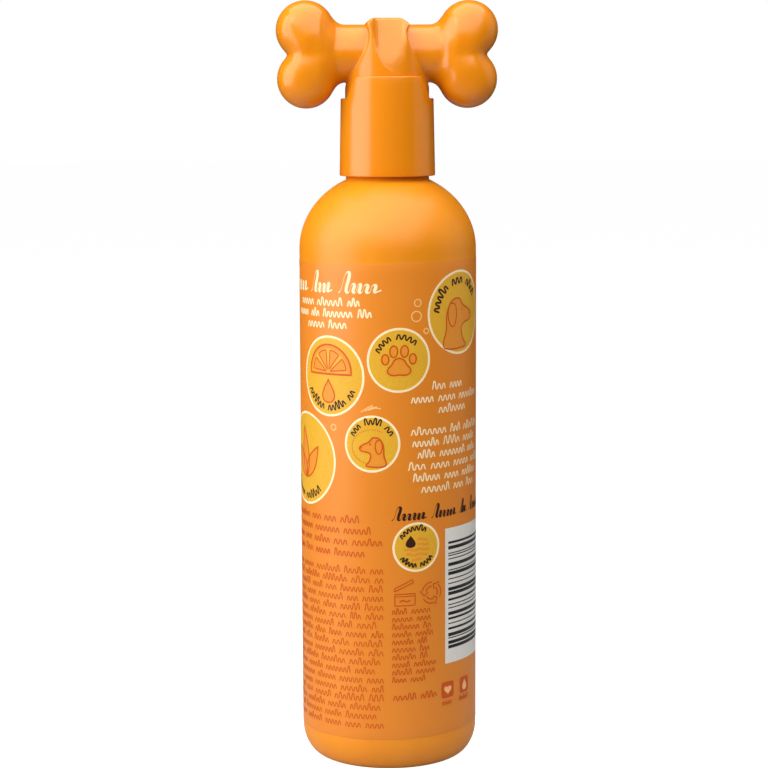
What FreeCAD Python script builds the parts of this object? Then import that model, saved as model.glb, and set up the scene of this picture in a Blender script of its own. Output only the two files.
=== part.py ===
"""Pet shampoo bottle, 300 ml, with a bone-shaped press pump.

Millimetres. The origin is the centre of the standing ring, +Z is up, the bone lies along X,
the outlet faces +Y and the finger dish faces -Y.
"""

import FreeCAD, Part
import math
import os

from FreeCAD import Vector

os.makedirs("parts", exist_ok=True)

# ---- Bottle ------------------------------------------------------------------------------
BODY_R = 25.85            # outside radius of the straight wall
WALL = 1.0                # blow-moulded wall
HEEL_OUT = 6.3            # how far the heel's curve reaches inwards
HEEL_UP = 9.2             # how high the heel's curve reaches
STAND_RING_R = 16.5       # inner edge of the standing ring
PUSH_UP = 3.0             # depth of the dished base
PUSH_UP_BOW = 0.74        # share of that depth left at half the radius
SHOULDER_Z = 151.05       # the shoulder's ellipse is centred on the axis at this height
SHOULDER_RISE = 22.75     # vertical half-axis of that ellipse
LABEL_LOW = 10.1          # lower edge of the wrap label
LABEL_HIGH = 148.35       # upper edge of the wrap label
LABEL_R = 26.0            # outside radius of the label
LABEL_GAP = 0.02          # adhesive layer under the label

# ---- Neck finish and its thread ------------------------------------------------------------
NECK_BEAD_R = 12.15       # plain band under the thread
NECK_BEAD_TOP = 174.0
NECK_ROOT_R = 10.75       # thread root
NECK_CREST_R = 11.95      # thread crest
NECK_BORE_R = 9.0
NECK_TOP = 186.4
PITCH = 3.175
THREAD_TURNS = 1.5
NECK_THREAD_Z = 178.2     # centre line of the neck thread's start
THREAD_SINK = 0.35        # how deep a thread's base is buried in its wall
NECK_THREAD_BASE = 1.9    # axial width of the neck thread at its root
NECK_THREAD_CREST = 1.1
RING_THREAD_BASE = 1.1    # axial width of the ring's thread at its root
RING_THREAD_CREST = 0.5
RING_THREAD_R = 11.05     # inner radius of the ring's thread
RING_BORE_R = 12.35

# ---- Closure and shroud --------------------------------------------------------------------
COLLAR_LOW = 172.25       # lower edge of the shroud
COLLAR_LOW_R = 13.95      # outside radius at that edge
COLLAR_NOTCH_Z = 194.6    # floor of the two side notches
COLLAR_TOP = 200.85       # top of the two tongues
COLLAR_TOP_R = 13.38      # outside radius at the tongues' tops
COLLAR_BORE_R = 12.5      # bore in which the press head slides
TONGUE_LOW_HALF = 64.0    # half the angle that a tongue spans at its root
TONGUE_TOP_HALF = 46.0    # the same at its top
TONGUE_ROUND = 1.0        # bevel of a tongue's upper corners
RING_LOW = 172.6
RING_R = 12.95            # outside radius of the threaded ring
RING_WEB_LOW = 188.25     # underside of the ring's top web
RING_WEB_TOP = 189.35
RING_HOLE_R = 7.6
SHROUD_FIT_R = 13.0       # bore of the shroud around the ring
KEY_COUNT = 6             # keys that stop the shroud turning on the ring
KEY_OUT = 0.25
KEY_WIDTH = 1.2
KEY_ROOT = 0.4            # how deep a key is sunk in the ring
KEY_TURN = 30             # angle of the first key in degrees
KEY_CLEAR = 0.05          # gap between a key and its groove
KEY_END = 2.0             # how far the keys stop short of the ring's ends

# ---- Press head ----------------------------------------------------------------------------
STROKE = 3.7
PRESSED_GAP = 0.8         # left between the skirt and the ring's web when the head is pressed
SKIRT_R = 12.2            # sliding skirt of the head
SKIRT_LOW = RING_WEB_TOP + STROKE + PRESSED_GAP
SKIRT_BORE_R = 10.85
HEAD_TOP = 217.45         # flat top of the middle block
SHAFT_Z = 207.45          # axis of the bone's shaft
SHAFT_R = 8.3
FORK_X = 17.2             # where the shaft divides into its lobes
UPPER_LOBE = (23.65, 214.2, 8.5)    # distance from the middle, height, radius
LOWER_LOBE = (23.35, 200.15, 8.45)
SHELL_WALL = 1.6
BLOCK_LOW_Z = 199.2       # the middle block is as wide as the skirt up to here
BLOCK_WAIST_X = 5.4       # half-width of the block at its waist
BLOCK_WAIST_LOW = 209.6
BLOCK_WAIST_HIGH = 213.4
BLOCK_EAR_X = 6.2         # half-width where it meets the shaft's top
BLOCK_EAR_Z = 215.7
BLOCK_FLAT_X = 4.2        # half-width of the flat top
DISH_R = 60.0             # sideways hollow of the finger dish's floor
DISH_LEAN = 13.0          # how far the floor leans back, in degrees
DISH_HALF = 4.8           # half-width of the dish
DISH_X = 0.6
DISH_TURN_Z = 209.0       # where its straight sides turn into the round lower end
DISH_FOOT_Z = 202.1
SNAP_X = 17.0             # snap pins that join the two shells
SNAP_PIN_R = 1.2
SNAP_BOSS_R = 2.6
SNAP_CLEAR = 0.05
SNAP_REACH = 4.0          # how far a pin reaches into its boss
SNAP_SPARE = 0.4          # depth of the hole beyond the pin's end
HALF_SPACE = 100.0        # side of the boxes that split the head in two

# ---- Core and outlet -----------------------------------------------------------------------
CORE_LOW = 193.6          # clears the stem guide by 0.6 when the head is pressed
CORE_R = 4.6
CORE_NECK_Z = 203.0       # the core is slimmer above here
CORE_NECK_R = 3.4
CORE_TOP = 211.2
CORE_FLANGE_R = 11.3      # disc held in a groove of the two shells
CORE_FLANGE_LOW = 199.4
CORE_FLANGE_TOP = 200.9
GROOVE_CLEAR = 0.05
DUCT_R = 1.5
OUTLET_Z = 208.2
OUTLET_ARM_R = 2.2
OUTLET_ARM_END = 12.2
OUTLET_HOLE_R = 3.3
NOZZLE_R = 3.2
NOZZLE_BACK = 9.2
NOZZLE_FRONT = 14.6
NOZZLE_ORIFICE_R = 1.1
NOZZLE_LIP = 0.5
NOZZLE_FLARE = 0.9        # depth and widening of the orifice's mouth

# ---- Pump ----------------------------------------------------------------------------------
GASKET_THICK = 0.8
GASKET_BORE_R = 9.1
FLANGE_R = 11.4
FLANGE_TOP = 188.2
CHAMBER_R = 6.2           # bore of the pump chamber
HOUSING_WALL = 1.0
CHAMBER_LOW = 168.6       # the chamber narrows below here
SPRING_BORE_R = 4.6
SPRING_BORE_TOP = 166.4
RETAINER_LOW = 160.6
RETAINER_TOP = 161.8
BALL_BORE_R = 2.6
BALL_CONE_TOP = 156.6
BALL_CONE_LOW = 155.4
INLET_R = 1.5
TUBE_STOP_Z = 153.5
SPIGOT_LOW = 146.5
SPIGOT_R = 3.9
TUBE_R = 2.5
TUBE_BORE_R = 1.8
TUBE_LOW = 5.6
TUBE_CUT = 3.0            # height of the tube's slanting end
BALL_R = 2.0
BALL_Z = 157.55
GUIDE_R = 7.3
GUIDE_TOP = 189.3
GUIDE_LOW = 184.5
STEM_R = 3.0
STEM_TOP = 201.0
STEM_STEP_Z = 184.1       # the stem is slimmer below here
STEM_SLIM_R = 2.6
STEM_LOW = 174.6
RUNNING = 0.06            # radial clearance of every running fit in the pump
PORT_Z = 177.9
PORT_R = 0.5
PISTON_LOW = 177.2
PISTON_TOP = 183.2
PISTON_WAIST_R = 5.2
PISTON_LIP = 1.4
FOOT_R = 4.4
FOOT_LOW = 173.0
FOOT_TOP = 177.15
FOOT_BOSS_R = 2.2
FOOT_BOSS_LOW = 171.6
SPRING_WIRE_R = 0.35
SPRING_R = 3.8
SPRING_TURNS = 6
SPRING_SIDES = 12         # flat sides that stand in for the wire's round section
RETAINER_R = 4.55
RETAINER_HOLE_R = 1.3
RETAINER_SLOT = 1.1
RETAINER_RIM = 1.3        # width of the rim outside the slots

AXIS = Vector(0, 0, 1)
ORIGIN = Vector(0, 0, 0)


# ---- Helpers -------------------------------------------------------------------------------
def save(name, shape):
    """Write one node and say whether it is a sound solid."""
    if not shape.isValid():
        shape.fix(1e-4, 1e-4, 1e-3)
    print(name, "valid", shape.isValid(), "solids", len(shape.Solids), "mm3", round(shape.Volume))
    shape.exportStep("parts/" + name + ".step")


def rod(radius, low, high, x=0.0, y=0.0):
    """Upright cylinder between two heights."""
    return Part.makeCylinder(radius, high - low, Vector(x, y, low), AXIS)


def ring(outer, inner, low, high):
    """Upright tube between two heights."""
    return rod(outer, low, high).cut(rod(inner, low - 1, high + 1))


def rod_y(radius, back, front, x, z):
    """Cylinder along Y between two depths."""
    return Part.makeCylinder(radius, front - back, Vector(x, back, z), Vector(0, 1, 0))


def lathe(points):
    """Solid of revolution about Z from a closed outline of (radius, height) points."""
    corners = [Vector(r, 0, z) for r, z in points]
    outline = Part.makePolygon(corners + corners[:1])
    return Part.Face(outline).revolve(ORIGIN, AXIS, 360)


def lathe_edges(edges):
    """Solid of revolution about Z from a closed chain of edges."""
    return Part.Face(Part.Wire(edges)).revolve(ORIGIN, AXIS, 360)


def line(a, b):
    """Straight edge between two (radius, height) points."""
    return Part.LineSegment(Vector(a[0], 0, a[1]), Vector(b[0], 0, b[1])).toShape()


def arc(a, through, b):
    """Round edge through three (radius, height) points."""
    points = [Vector(p[0], 0, p[1]) for p in (a, through, b)]
    return Part.Arc(*points).toShape()


def ellipse_edge(centre, across, up, start, end):
    """Part of an ellipse in the XZ plane, its angles in degrees from +X towards +Z."""
    steps = 24
    points = []
    for i in range(steps + 1):
        angle = math.radians(start + (end - start) * i / steps)
        points.append(Vector(centre[0] + across * math.cos(angle), 0, centre[1] + up * math.sin(angle)))
    curve = Part.BSplineCurve()
    curve.interpolate(points)
    return curve.toShape()


def thread(radius_base, radius_crest, width_base, width_crest, start, turns):
    """Helical ridge; the crest is inwards where its radius is the smaller."""
    sink = THREAD_SINK if radius_base < radius_crest else -THREAD_SINK
    base = radius_base - sink
    helix = Part.makeHelix(PITCH, PITCH * turns, radius_base)
    helix.translate(Vector(0, 0, start))
    corners = [
        Vector(base, 0, start - width_base / 2),
        Vector(base, 0, start + width_base / 2),
        Vector(radius_crest, 0, start + width_crest / 2),
        Vector(radius_crest, 0, start - width_crest / 2),
    ]
    section = Part.makePolygon(corners + corners[:1])
    return Part.Wire(helix.Edges).makePipeShell([section], True, True)


def capsule(start, end, radius_start, radius_end):
    """Round bar between two balls of nearly the same size."""
    way = end - start
    reach = way.Length
    lean = math.asin((radius_start - radius_end) / reach)
    bar = Part.makeCone(
        radius_start * math.cos(lean),
        radius_end * math.cos(lean),
        reach + (radius_end - radius_start) * math.sin(lean),
        start + way * (radius_start * math.sin(lean) / reach),
        way,
    )
    return bar.fuse(Part.makeSphere(radius_end, end))


# ---- Bottle and label ----------------------------------------------------------------------
def shoulder_height(radius, inset):
    """Height of the shoulder's ellipse at a radius, for a surface inset from the outside."""
    across = BODY_R - inset
    return SHOULDER_Z + (SHOULDER_RISE - inset) * math.sqrt(1 - (radius / across) ** 2)


def bottle_outline(inset, neck_radius, top):
    """Closed outline of the bottle's outside (inset 0) or of its hollow."""
    across = BODY_R - inset
    rise = SHOULDER_RISE - inset
    ring_r = STAND_RING_R + inset
    heel_r = BODY_R - HEEL_OUT
    heel_z = HEEL_UP
    neck_z = shoulder_height(neck_radius, inset)
    neck_angle = math.degrees(math.acos(neck_radius / across))
    dish = PUSH_UP + inset
    edges = [arc((0, dish), (ring_r / 2, inset + (dish - inset) * PUSH_UP_BOW), (ring_r, inset))]
    edges.append(line((ring_r, inset), (heel_r, inset)))
    edges.append(ellipse_edge((heel_r, heel_z), HEEL_OUT - inset, HEEL_UP - inset, -90, 0))
    edges.append(line((across, heel_z), (across, SHOULDER_Z)))
    edges.append(ellipse_edge((0, SHOULDER_Z), across, rise, 0, neck_angle))
    edges.append(line((neck_radius, neck_z), (neck_radius, top)))
    edges.append(line((neck_radius, top), (0, top)))
    edges.append(line((0, top), (0, dish)))
    return edges


def make_bottle():
    outside = lathe_edges(bottle_outline(0.0, NECK_BEAD_R, NECK_BEAD_TOP))
    finish = rod(NECK_ROOT_R, NECK_BEAD_TOP - 1, NECK_TOP)
    ridge = thread(NECK_ROOT_R, NECK_CREST_R, NECK_THREAD_BASE, NECK_THREAD_CREST, NECK_THREAD_Z, THREAD_TURNS)
    hollow = lathe_edges(bottle_outline(WALL, NECK_BORE_R, NECK_TOP + 1))
    return outside.fuse(finish).fuse(ridge).cut(hollow)


def make_label():
    return ring(LABEL_R, BODY_R + LABEL_GAP, LABEL_LOW, LABEL_HIGH)


# ---- Closure and shroud --------------------------------------------------------------------
def keys(outer, width, low, high):
    """Upright keys round the closure ring."""
    bars = []
    for i in range(KEY_COUNT):
        inner = RING_R - KEY_ROOT
        bar = Part.makeBox(outer - inner, width, high - low, Vector(inner, -width / 2, low))
        bar.rotate(ORIGIN, AXIS, 360 * i / KEY_COUNT + KEY_TURN)
        bars.append(bar)
    return bars


def make_closure_ring():
    body = rod(RING_R, RING_LOW, RING_WEB_TOP)
    body = body.fuse(keys(RING_R + KEY_OUT, KEY_WIDTH, RING_LOW + KEY_END, RING_WEB_LOW - KEY_END))
    body = body.cut(rod(RING_BORE_R, RING_LOW - 1, RING_WEB_LOW))
    body = body.cut(rod(RING_HOLE_R, RING_WEB_LOW - 1, RING_WEB_TOP + 1))
    start = NECK_THREAD_Z + PITCH / 2
    ridge = thread(RING_BORE_R, RING_THREAD_R, RING_THREAD_BASE, RING_THREAD_CREST, start - PITCH, THREAD_TURNS)
    return body.fuse(ridge)


def collar_radius(z):
    """Outside radius of the drafted shroud at a height."""
    share = (z - COLLAR_LOW) / (COLLAR_TOP - COLLAR_LOW)
    return COLLAR_LOW_R + (COLLAR_TOP_R - COLLAR_LOW_R) * share


def notch_cutter(side):
    """Block that clears the side notch between the two tongues, on +X or -X."""
    low_y = collar_radius(COLLAR_NOTCH_Z) * math.cos(math.radians(TONGUE_LOW_HALF))
    top_y = collar_radius(COLLAR_TOP) * math.cos(math.radians(TONGUE_TOP_HALF))
    above = COLLAR_TOP + 1
    corners = [
        Vector(0, -low_y, COLLAR_NOTCH_Z),
        Vector(0, low_y, COLLAR_NOTCH_Z),
        Vector(0, top_y, COLLAR_TOP - TONGUE_ROUND),
        Vector(0, top_y + TONGUE_ROUND, COLLAR_TOP),
        Vector(0, top_y + TONGUE_ROUND, above),
        Vector(0, -top_y - TONGUE_ROUND, above),
        Vector(0, -top_y - TONGUE_ROUND, COLLAR_TOP),
        Vector(0, -top_y, COLLAR_TOP - TONGUE_ROUND),
    ]
    face = Part.Face(Part.makePolygon(corners + corners[:1]))
    return face.extrude(Vector(side * (COLLAR_LOW_R + 2), 0, 0))


def make_collar_shroud():
    edge = 0.35
    body = lathe([
        (SHROUD_FIT_R, COLLAR_LOW),
        (COLLAR_LOW_R - edge, COLLAR_LOW),
        (COLLAR_LOW_R, COLLAR_LOW + edge),
        (COLLAR_TOP_R, COLLAR_TOP - edge),
        (COLLAR_TOP_R - edge, COLLAR_TOP),
        (COLLAR_BORE_R, COLLAR_TOP),
        (COLLAR_BORE_R, RING_WEB_TOP),
        (SHROUD_FIT_R, RING_WEB_TOP),
    ])
    body = body.cut(notch_cutter(1)).cut(notch_cutter(-1))
    groove_top = RING_WEB_LOW - KEY_END + 2 * KEY_CLEAR
    grooves = keys(RING_R + KEY_OUT + KEY_CLEAR, KEY_WIDTH + 2 * KEY_CLEAR, COLLAR_LOW - 1, groove_top)
    for groove in grooves:
        body = body.cut(groove)
    return body


# ---- Press head ----------------------------------------------------------------------------
def bone(inset):
    """The bone's outside, or its hollow where inset is the wall."""
    solid = Part.makeCylinder(
        SHAFT_R - inset, 2 * FORK_X, Vector(-FORK_X, 0, SHAFT_Z), Vector(1, 0, 0)
    )
    for side in (-1, 1):
        fork = Vector(side * FORK_X, 0, SHAFT_Z)
        solid = solid.fuse(Part.makeSphere(SHAFT_R - inset, fork))
        for out, height, radius in (UPPER_LOBE, LOWER_LOBE):
            lobe = Vector(side * out, 0, height)
            solid = solid.fuse(capsule(fork, lobe, SHAFT_R - inset, radius - inset))
    return solid


def block(inset):
    """The middle block, waisted between the arms, or its hollow."""
    right = [
        (SKIRT_R + 1, SKIRT_LOW - (1 if inset else 0)),
        (SKIRT_R + 1, BLOCK_LOW_Z - 1),
        (SKIRT_R - 1.0 - inset, BLOCK_LOW_Z + 1.0),
        (BLOCK_WAIST_X - inset, BLOCK_WAIST_LOW),
        (BLOCK_WAIST_X - inset, BLOCK_WAIST_HIGH),
        (BLOCK_EAR_X - inset, BLOCK_EAR_Z - inset / 2),
        (BLOCK_FLAT_X - inset / 2, HEAD_TOP - inset),
    ]
    left = [(-x, z) for x, z in reversed(right)]
    depth = 2 * SKIRT_R + 2
    corners = [Vector(x, -depth / 2, z) for x, z in right + left]
    slab = Part.Face(Part.makePolygon(corners + corners[:1])).extrude(Vector(0, depth, 0))
    radius = SKIRT_R - inset
    return slab.common(rod(radius, SKIRT_LOW - 2, HEAD_TOP + 1))


def dish(grow):
    """What the finger dish takes off the block: a leaning floor within a tongue-shaped outline."""
    lean = math.radians(DISH_LEAN)
    upward = Vector(0, math.sin(lean), math.cos(lean))
    outward = Vector(0, -math.cos(lean), math.sin(lean))
    foot = Vector(DISH_X, -SKIRT_R, DISH_FOOT_Z)
    length = 2 * HEAD_TOP - 2 * DISH_FOOT_Z + 2 * DISH_R
    start = foot + outward * DISH_R - upward * (length / 2)
    floor = Part.makeCylinder(DISH_R + grow, length, start, upward)
    half = DISH_HALF + grow
    front = -SKIRT_R - 1
    middle = Vector(DISH_X, front, DISH_TURN_Z)
    side = Vector(DISH_X + half, front, DISH_TURN_Z)
    low = Vector(DISH_X, front, DISH_FOOT_Z - grow)
    oval = Part.Wire(Part.Ellipse(low, side, middle).toShape())
    outline = Part.Face(oval).extrude(Vector(0, SKIRT_R, 0))
    corner = Vector(DISH_X - half, front, DISH_TURN_Z)
    straight = Part.makeBox(2 * half, SKIRT_R, HEAD_TOP + 2 - DISH_TURN_Z, corner)
    return floor.common(outline.fuse(straight))


def make_head():
    """Both shells before they are split, hollow, with the dish, groove and outlet hole."""
    outside = bone(0.0).fuse(block(0.0)).cut(dish(0.0))
    hollow = bone(SHELL_WALL).fuse(block(SHELL_WALL)).cut(dish(SHELL_WALL))
    skirt = rod(SKIRT_BORE_R, SKIRT_LOW - 1, CORE_FLANGE_TOP)
    groove = rod(
        CORE_FLANGE_R + GROOVE_CLEAR, CORE_FLANGE_LOW - GROOVE_CLEAR, CORE_FLANGE_TOP + GROOVE_CLEAR
    )
    ledge = ring(SKIRT_R - 0.2, CORE_FLANGE_R - 1.2, CORE_FLANGE_TOP + GROOVE_CLEAR, CORE_FLANGE_TOP + 1.4)
    hollow = hollow.cut(ledge).fuse(skirt).fuse(groove)
    head = outside.cut(hollow)
    return head.cut(rod_y(OUTLET_HOLE_R, CORE_NECK_R, SKIRT_R + 1, 0, OUTLET_Z))


def make_shells():
    head = make_head()
    low = SKIRT_LOW - 10
    rear_half = Part.makeBox(HALF_SPACE, HALF_SPACE, HALF_SPACE, Vector(-HALF_SPACE / 2, -HALF_SPACE, low))
    front_half = Part.makeBox(HALF_SPACE, HALF_SPACE, HALF_SPACE, Vector(-HALF_SPACE / 2, 0, low))
    rear = head.common(rear_half)
    front = head.common(front_half)
    back_wall = SHAFT_R - SHELL_WALL / 2
    for side in (-1, 1):
        x = side * SNAP_X
        pin = rod_y(SNAP_PIN_R, -back_wall, SNAP_REACH, x, SHAFT_Z)
        shoulder = rod_y(SNAP_BOSS_R, -back_wall, 0, x, SHAFT_Z)
        boss = rod_y(SNAP_BOSS_R, 0, back_wall, x, SHAFT_Z)
        hole = rod_y(SNAP_PIN_R + SNAP_CLEAR, -1, SNAP_REACH + SNAP_SPARE, x, SHAFT_Z)
        rear = rear.fuse([shoulder, pin])
        front = front.fuse(boss).cut(hole)
    return rear, front


def make_press_core():
    body = rod(CORE_R, CORE_LOW, CORE_NECK_Z).fuse(rod(CORE_NECK_R, CORE_LOW, CORE_TOP))
    body = body.fuse(rod(CORE_FLANGE_R, CORE_FLANGE_LOW, CORE_FLANGE_TOP))
    body = body.fuse(rod_y(OUTLET_ARM_R, 0, OUTLET_ARM_END, 0, OUTLET_Z))
    body = body.cut(rod(STEM_R, CORE_LOW - 1, STEM_TOP))
    body = body.cut(rod(DUCT_R, STEM_TOP - 1, OUTLET_Z))
    body = body.cut(Part.makeSphere(DUCT_R, Vector(0, 0, OUTLET_Z)))
    return body.cut(rod_y(DUCT_R, 0, OUTLET_ARM_END + 1, 0, OUTLET_Z))


def make_nozzle_insert():
    body = rod_y(NOZZLE_R, NOZZLE_BACK, NOZZLE_FRONT - NOZZLE_LIP, 0, OUTLET_Z)
    tip = Part.makeCone(
        NOZZLE_R, NOZZLE_R - NOZZLE_LIP, NOZZLE_LIP,
        Vector(0, NOZZLE_FRONT - NOZZLE_LIP, OUTLET_Z), Vector(0, 1, 0),
    )
    body = body.fuse(tip)
    body = body.cut(rod_y(OUTLET_ARM_R, NOZZLE_BACK - 1, OUTLET_ARM_END, 0, OUTLET_Z))
    flare = Part.makeCone(
        NOZZLE_ORIFICE_R, NOZZLE_ORIFICE_R + NOZZLE_FLARE, NOZZLE_FLARE,
        Vector(0, NOZZLE_FRONT - NOZZLE_FLARE, OUTLET_Z), Vector(0, 1, 0),
    )
    return body.cut(rod_y(NOZZLE_ORIFICE_R, NOZZLE_BACK, NOZZLE_FRONT + 1, 0, OUTLET_Z)).cut(flare)


# ---- Pump ----------------------------------------------------------------------------------
def make_neck_gasket():
    return ring(FLANGE_R, GASKET_BORE_R, NECK_TOP, NECK_TOP + GASKET_THICK)


def make_pump_housing():
    wall = HOUSING_WALL
    flange_low = NECK_TOP + GASKET_THICK
    outside = lathe([
        (0, SPIGOT_LOW),
        (SPIGOT_R, SPIGOT_LOW),
        (SPIGOT_R, BALL_CONE_LOW),
        (SPRING_BORE_R + wall, BALL_CONE_LOW + 3),
        (SPRING_BORE_R + wall, SPRING_BORE_TOP - wall / 2),
        (CHAMBER_R + wall, CHAMBER_LOW - wall / 2),
        (CHAMBER_R + wall, flange_low),
        (FLANGE_R, flange_low),
        (FLANGE_R, FLANGE_TOP),
        (0, FLANGE_TOP),
    ])
    hollow = lathe([
        (0, SPIGOT_LOW - 1),
        (TUBE_R, SPIGOT_LOW - 1),
        (TUBE_R, TUBE_STOP_Z),
        (INLET_R, TUBE_STOP_Z),
        (INLET_R, BALL_CONE_LOW),
        (BALL_BORE_R, BALL_CONE_TOP),
        (BALL_BORE_R, RETAINER_LOW),
        (SPRING_BORE_R, RETAINER_LOW),
        (SPRING_BORE_R, SPRING_BORE_TOP),
        (CHAMBER_R, CHAMBER_LOW),
        (CHAMBER_R, FLANGE_TOP + 1),
        (0, FLANGE_TOP + 1),
    ])
    return outside.cut(hollow)


def make_dip_tube():
    body = ring(TUBE_R, TUBE_BORE_R, TUBE_LOW, TUBE_STOP_Z)
    corners = [
        Vector(-TUBE_R - 1, 0, TUBE_LOW - 1),
        Vector(TUBE_R + 1, 0, TUBE_LOW - 1),
        Vector(TUBE_R + 1, 0, TUBE_LOW + TUBE_CUT),
    ]
    wedge = Part.Face(Part.makePolygon(corners + corners[:1])).extrude(Vector(0, 4 * TUBE_R, 0))
    wedge.translate(Vector(0, -2 * TUBE_R, 0))
    return body.cut(wedge)


def make_inlet_ball():
    return Part.makeSphere(BALL_R, Vector(0, 0, BALL_Z))


def make_ball_retainer():
    body = ring(RETAINER_R, RETAINER_HOLE_R, RETAINER_LOW, RETAINER_TOP)
    for turn in (0, 90):
        slot = Part.makeBox(
            2 * (RETAINER_R - RETAINER_RIM), RETAINER_SLOT, 2 * RETAINER_TOP,
            Vector(RETAINER_RIM - RETAINER_R, -RETAINER_SLOT / 2, 0),
        )
        slot.rotate(ORIGIN, AXIS, turn)
        body = body.cut(slot)
    return body


def make_return_spring():
    low = RETAINER_TOP + SPRING_WIRE_R
    height = FOOT_LOW - RETAINER_TOP - 2 * SPRING_WIRE_R
    helix = Part.makeHelix(height / SPRING_TURNS, height, SPRING_R)
    corners = []
    for i in range(SPRING_SIDES):
        angle = 2 * math.pi * i / SPRING_SIDES
        out = SPRING_R + SPRING_WIRE_R * math.cos(angle)
        corners.append(Vector(out, 0, SPRING_WIRE_R * math.sin(angle)))
    section = Part.makePolygon(corners + corners[:1])
    coil = Part.Wire(helix.Edges).makePipeShell([section], True, True)
    coil.translate(Vector(0, 0, low))
    return coil


def make_stem_guide():
    body = rod(GUIDE_R, FLANGE_TOP, GUIDE_TOP)
    body = body.fuse(rod(CHAMBER_R, GUIDE_LOW, FLANGE_TOP))
    return body.cut(rod(STEM_R + RUNNING, GUIDE_LOW - 1, GUIDE_TOP + 1))


def make_stem():
    body = rod(STEM_R, STEM_STEP_Z, STEM_TOP).fuse(rod(STEM_SLIM_R, STEM_LOW, STEM_STEP_Z))
    body = body.cut(rod(DUCT_R, STEM_LOW - 1, STEM_TOP + 1))
    return body.cut(rod_y(PORT_R, -STEM_R - 1, STEM_R + 1, 0, PORT_Z))


def make_stem_foot():
    body = rod(FOOT_R, FOOT_LOW, FOOT_TOP).fuse(rod(FOOT_BOSS_R, FOOT_BOSS_LOW, FOOT_LOW))
    return body.cut(rod(STEM_SLIM_R, STEM_LOW, FOOT_TOP + 1))


def make_piston():
    lip_r = CHAMBER_R - RUNNING
    outside = lathe([
        (0, PISTON_LOW),
        (lip_r, PISTON_LOW),
        (lip_r, PISTON_LOW + PISTON_LIP),
        (PISTON_WAIST_R, PISTON_LOW + 2 * PISTON_LIP),
        (PISTON_WAIST_R, PISTON_TOP - PISTON_LIP),
        (lip_r, PISTON_TOP - PISTON_LIP / 2),
        (lip_r, PISTON_TOP),
        (0, PISTON_TOP),
    ])
    return outside.cut(rod(STEM_SLIM_R + RUNNING, PISTON_LOW - 1, PISTON_TOP + 1))


# ---- Write every node ----------------------------------------------------------------------
rear_shell, front_shell = make_shells()
save("bottle", make_bottle())
save("wrap_label", make_label())
save("closure_ring", make_closure_ring())
save("collar_shroud", make_collar_shroud())
save("rear_bone_shell", rear_shell)
save("front_bone_shell", front_shell)
save("press_core", make_press_core())
save("nozzle_insert", make_nozzle_insert())
save("neck_gasket", make_neck_gasket())
save("pump_housing", make_pump_housing())
save("dip_tube", make_dip_tube())
save("inlet_ball", make_inlet_ball())
save("ball_retainer", make_ball_retainer())
save("return_spring", make_return_spring())
save("stem_guide", make_stem_guide())
save("stem", make_stem())
save("stem_foot", make_stem_foot())
save("piston", make_piston())
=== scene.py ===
"""Looks of the pet shampoo bottle: satin plastics, bone-shaped head, notched collar and printed label."""
import math
import random

import bpy
import numpy as np
from mathutils import Matrix, Vector


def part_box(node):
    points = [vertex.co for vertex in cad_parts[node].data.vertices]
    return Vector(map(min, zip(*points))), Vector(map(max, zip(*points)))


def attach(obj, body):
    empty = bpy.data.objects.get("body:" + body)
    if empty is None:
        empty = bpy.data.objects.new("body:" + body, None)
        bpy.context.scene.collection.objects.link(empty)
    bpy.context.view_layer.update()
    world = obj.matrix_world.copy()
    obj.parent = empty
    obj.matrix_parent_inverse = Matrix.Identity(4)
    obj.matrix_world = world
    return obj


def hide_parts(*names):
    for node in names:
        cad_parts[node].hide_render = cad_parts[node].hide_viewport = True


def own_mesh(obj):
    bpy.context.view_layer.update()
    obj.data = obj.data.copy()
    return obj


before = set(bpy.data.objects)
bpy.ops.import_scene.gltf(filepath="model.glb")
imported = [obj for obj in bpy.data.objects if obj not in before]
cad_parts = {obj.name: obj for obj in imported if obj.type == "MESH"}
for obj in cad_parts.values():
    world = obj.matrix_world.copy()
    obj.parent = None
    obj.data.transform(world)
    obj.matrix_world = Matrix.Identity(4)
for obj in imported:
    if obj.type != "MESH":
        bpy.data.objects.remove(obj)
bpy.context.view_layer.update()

MM = 0.001

# ---- Sizes in millimetres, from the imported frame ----


def box_mm(node):
    low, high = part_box(node)
    return np.array(low) / MM, np.array(high) / MM


LABEL_LOW, LABEL_HIGH = box_mm("wrap_label")
COLLAR_LOW, COLLAR_HIGH = box_mm("collar_shroud")
HEAD_LOW, HEAD_HIGH = box_mm("rear_bone_shell")
BOTTLE_HIGH = box_mm("bottle")[1]
SPRING_LOW, SPRING_HIGH = box_mm("return_spring")

# ---- Bottle ----
BODY_R = BOTTLE_HIGH[0]
WALL = 1.0
HEEL_OUT = 6.3
HEEL_UP = 9.2
STAND_RING_R = 16.5
PUSH_UP = 3.0
SHOULDER_Z = 151.05
SHOULDER_RISE = 22.75
NECK_BEAD_R = 12.15
NECK_BEAD_TOP = 174.0
NECK_ROOT_R = 10.75
NECK_CREST_R = 11.95
NECK_BORE_R = 9.0
NECK_TOP = BOTTLE_HIGH[2]
PITCH = 3.175
THREAD_TURNS = 1.5
THREAD_Z = 178.2
THREAD_BASE = 1.9
THREAD_CREST = 1.1
AROUND = 192

# ---- View: the bottle stands turned a little, and the picture leans a little ----
VIEW_TURN = math.radians(-2.5)
VIEW_ROLL = -0.00403
VIEW_DOWN = 0.1297          # how far the camera looks down, in radians
VIEW_PLACE = (-1.24, -650.0, 195.65)
VIEW_LENS = 104.0

# ---- Label and inks ----
LABEL_R = LABEL_HIGH[0]
FILM_R = LABEL_R - 0.08            # outside of the label film
INK_STEP = 0.013                   # how far each ink stands off the one below
LABEL_TILT = 0.0175                # the film is wrapped on very slightly askew

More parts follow.
